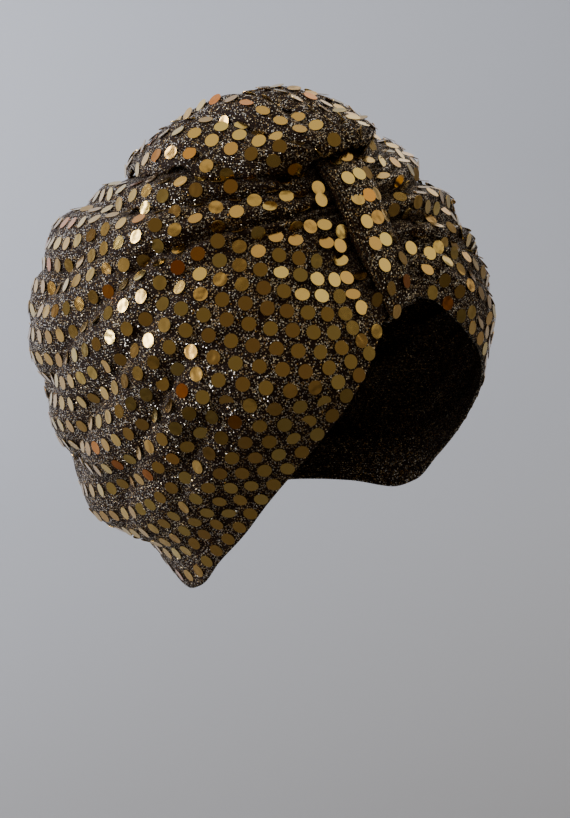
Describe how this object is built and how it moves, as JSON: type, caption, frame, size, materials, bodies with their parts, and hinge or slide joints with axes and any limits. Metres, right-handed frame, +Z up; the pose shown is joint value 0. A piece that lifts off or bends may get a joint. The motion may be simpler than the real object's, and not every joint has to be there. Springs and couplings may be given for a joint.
{
  "type": "turban",
  "caption": "Front-twist turban of pleated stretch cloth: two side wraps gathered under a slanting band, a crown roll above, open underneath for the head.",
  "frame": {"origin": "middle of the head space, level with the brows, where the turban sits on a head", "axes": "+X towards the wearer's left, -Y towards the wearer's front, +Z up"},
  "size_m": [0.2171, 0.2279, 0.2349],
  "materials": {
    "wrap_cloth": "dark brown-black stretch knit with gold thread and round gold sequins",
    "roll_cloth": "the same sequinned knit, rolled",
    "band_cloth": "the same sequinned knit, ribbed by the gathering"
  },
  "bodies": {
    "root": {"right_wrap": "wrap_cloth", "left_wrap": "wrap_cloth", "crown_roll": "roll_cloth", "twist_band": "band_cloth"}
  },
  "joints": []
}
